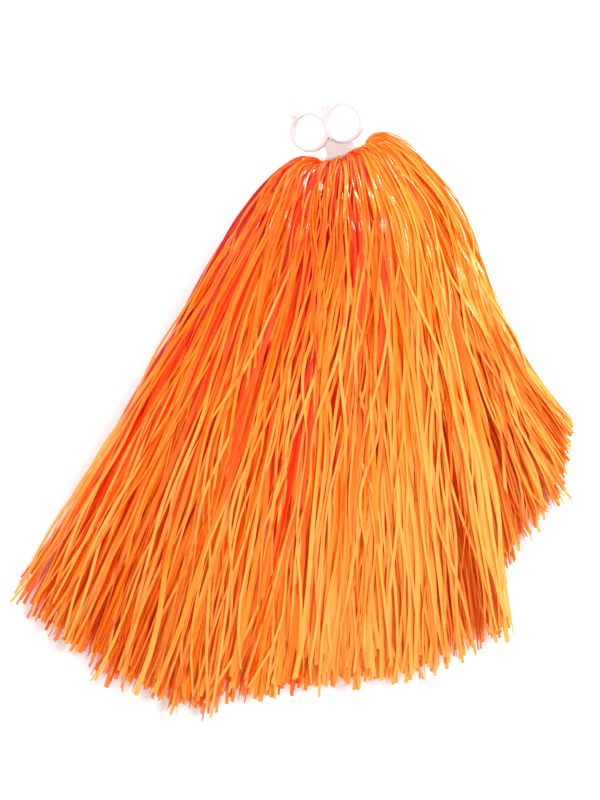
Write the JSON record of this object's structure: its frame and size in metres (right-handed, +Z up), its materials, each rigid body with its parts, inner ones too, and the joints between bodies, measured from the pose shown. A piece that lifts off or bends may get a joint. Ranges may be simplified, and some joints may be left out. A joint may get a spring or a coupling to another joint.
{
  "type": "cheer pom pom",
  "caption": "Hand-held cheer pom pom: a finger-ring handle carries a bound hank of flat glossy plastic strips that fan out into a wide skirt.",
  "frame": {"origin": "on the surface that the pom pom lies on, below the neck where the strips leave the handle", "axes": "+Z up, away from the surface it lies on; +Y towards the finger rings, along its length; +X to the right seen from above"},
  "size_m": [0.3577, 0.4009, 0.076],
  "materials": {
    "handle_plastic": "moulded, soft gloss",
    "bar_plastic": "moulded",
    "tie_plastic": "moulded, ribbed",
    "pin_plastic": "drawn filament",
    "card": "coated board, unprinted",
    "strips": "thin glossy film, slightly translucent"
  },
  "bodies": {
    "root": {"anchor_bar": "bar_plastic", "cable_tie": "tie_plastic", "tag_pin": "pin_plastic", "hank_core": "strips", "crown_top": "strips", "crown_bottom": "strips", "crown_front": "strips", "crown_left": "strips", "crown_right": "strips", "lower_lock_1": "strips", "lower_lock_2": "strips", "lower_lock_3": "strips", "lower_lock_4": "strips", "lower_lock_5": "strips"},
    "handle": {"ring_handle": "handle_plastic"},
    "card": {"hang_card": "card"},
    "upper_1": {"upper_lock_1": "strips"},
    "upper_2": {"upper_lock_2": "strips"},
    "upper_3": {"upper_lock_3": "strips"},
    "upper_4": {"upper_lock_4": "strips"},
    "upper_5": {"upper_lock_5": "strips"},
    "side_1": {"side_lock_1": "strips"},
    "side_2": {"side_lock_2": "strips"}
  },
  "joints": [
    {"name": "handle_swing", "type": "hinge", "parent": "root", "child": "handle", "pos_m": [0.0026, 0.0022, 0.036], "axis": [0.9034, 0.2086, 0.3746], "range_deg": [0, 30]},
    {"name": "card_swivel", "type": "hinge", "parent": "root", "child": "card", "pos_m": [-0.00873, 0.0343, 0.0337], "axis": [-0.3301, -0.2191, 0.9182], "range_deg": [-12, 12]},
    {"name": "upper_lift_1", "type": "hinge", "parent": "root", "child": "upper_1", "pos_m": [-0.0631, -0.06, 0.07], "axis": [-0.9113, 0.4117, 0], "range_deg": [0, 30]},
    {"name": "upper_lift_2", "type": "hinge", "parent": "root", "child": "upper_2", "pos_m": [-0.0353, -0.06, 0.07], "axis": [-0.966, 0.2587, 0], "range_deg": [0, 30]},
    {"name": "upper_lift_3", "type": "hinge", "parent": "root", "child": "upper_3", "pos_m": [-0.0075, -0.06, 0.07], "axis": [-0.9908, 0.135, 0], "range_deg": [0, 30]},
    {"name": "upper_lift_4", "type": "hinge", "parent": "root", "child": "upper_4", "pos_m": [0.0203, -0.06, 0.07], "axis": [-0.9999, 0.0167, 0], "range_deg": [0, 30]},
    {"name": "upper_lift_5", "type": "hinge", "parent": "root", "child": "upper_5", "pos_m": [0.0481, -0.06, 0.07], "axis": [-0.9932, -0.1162, 0], "range_deg": [0, 30]},
    {"name": "side_lift_1", "type": "hinge", "parent": "root", "child": "side_1", "pos_m": [0.07075, -0.06, 0.046], "axis": [-0.9469, -0.3216, 0], "range_deg": [0, 25]},
    {"name": "side_lift_2", "type": "hinge", "parent": "root", "child": "side_2", "pos_m": [0.08525, -0.06, 0.046], "axis": [-0.8998, -0.4363, 0], "range_deg": [0, 25]}
  ]
}
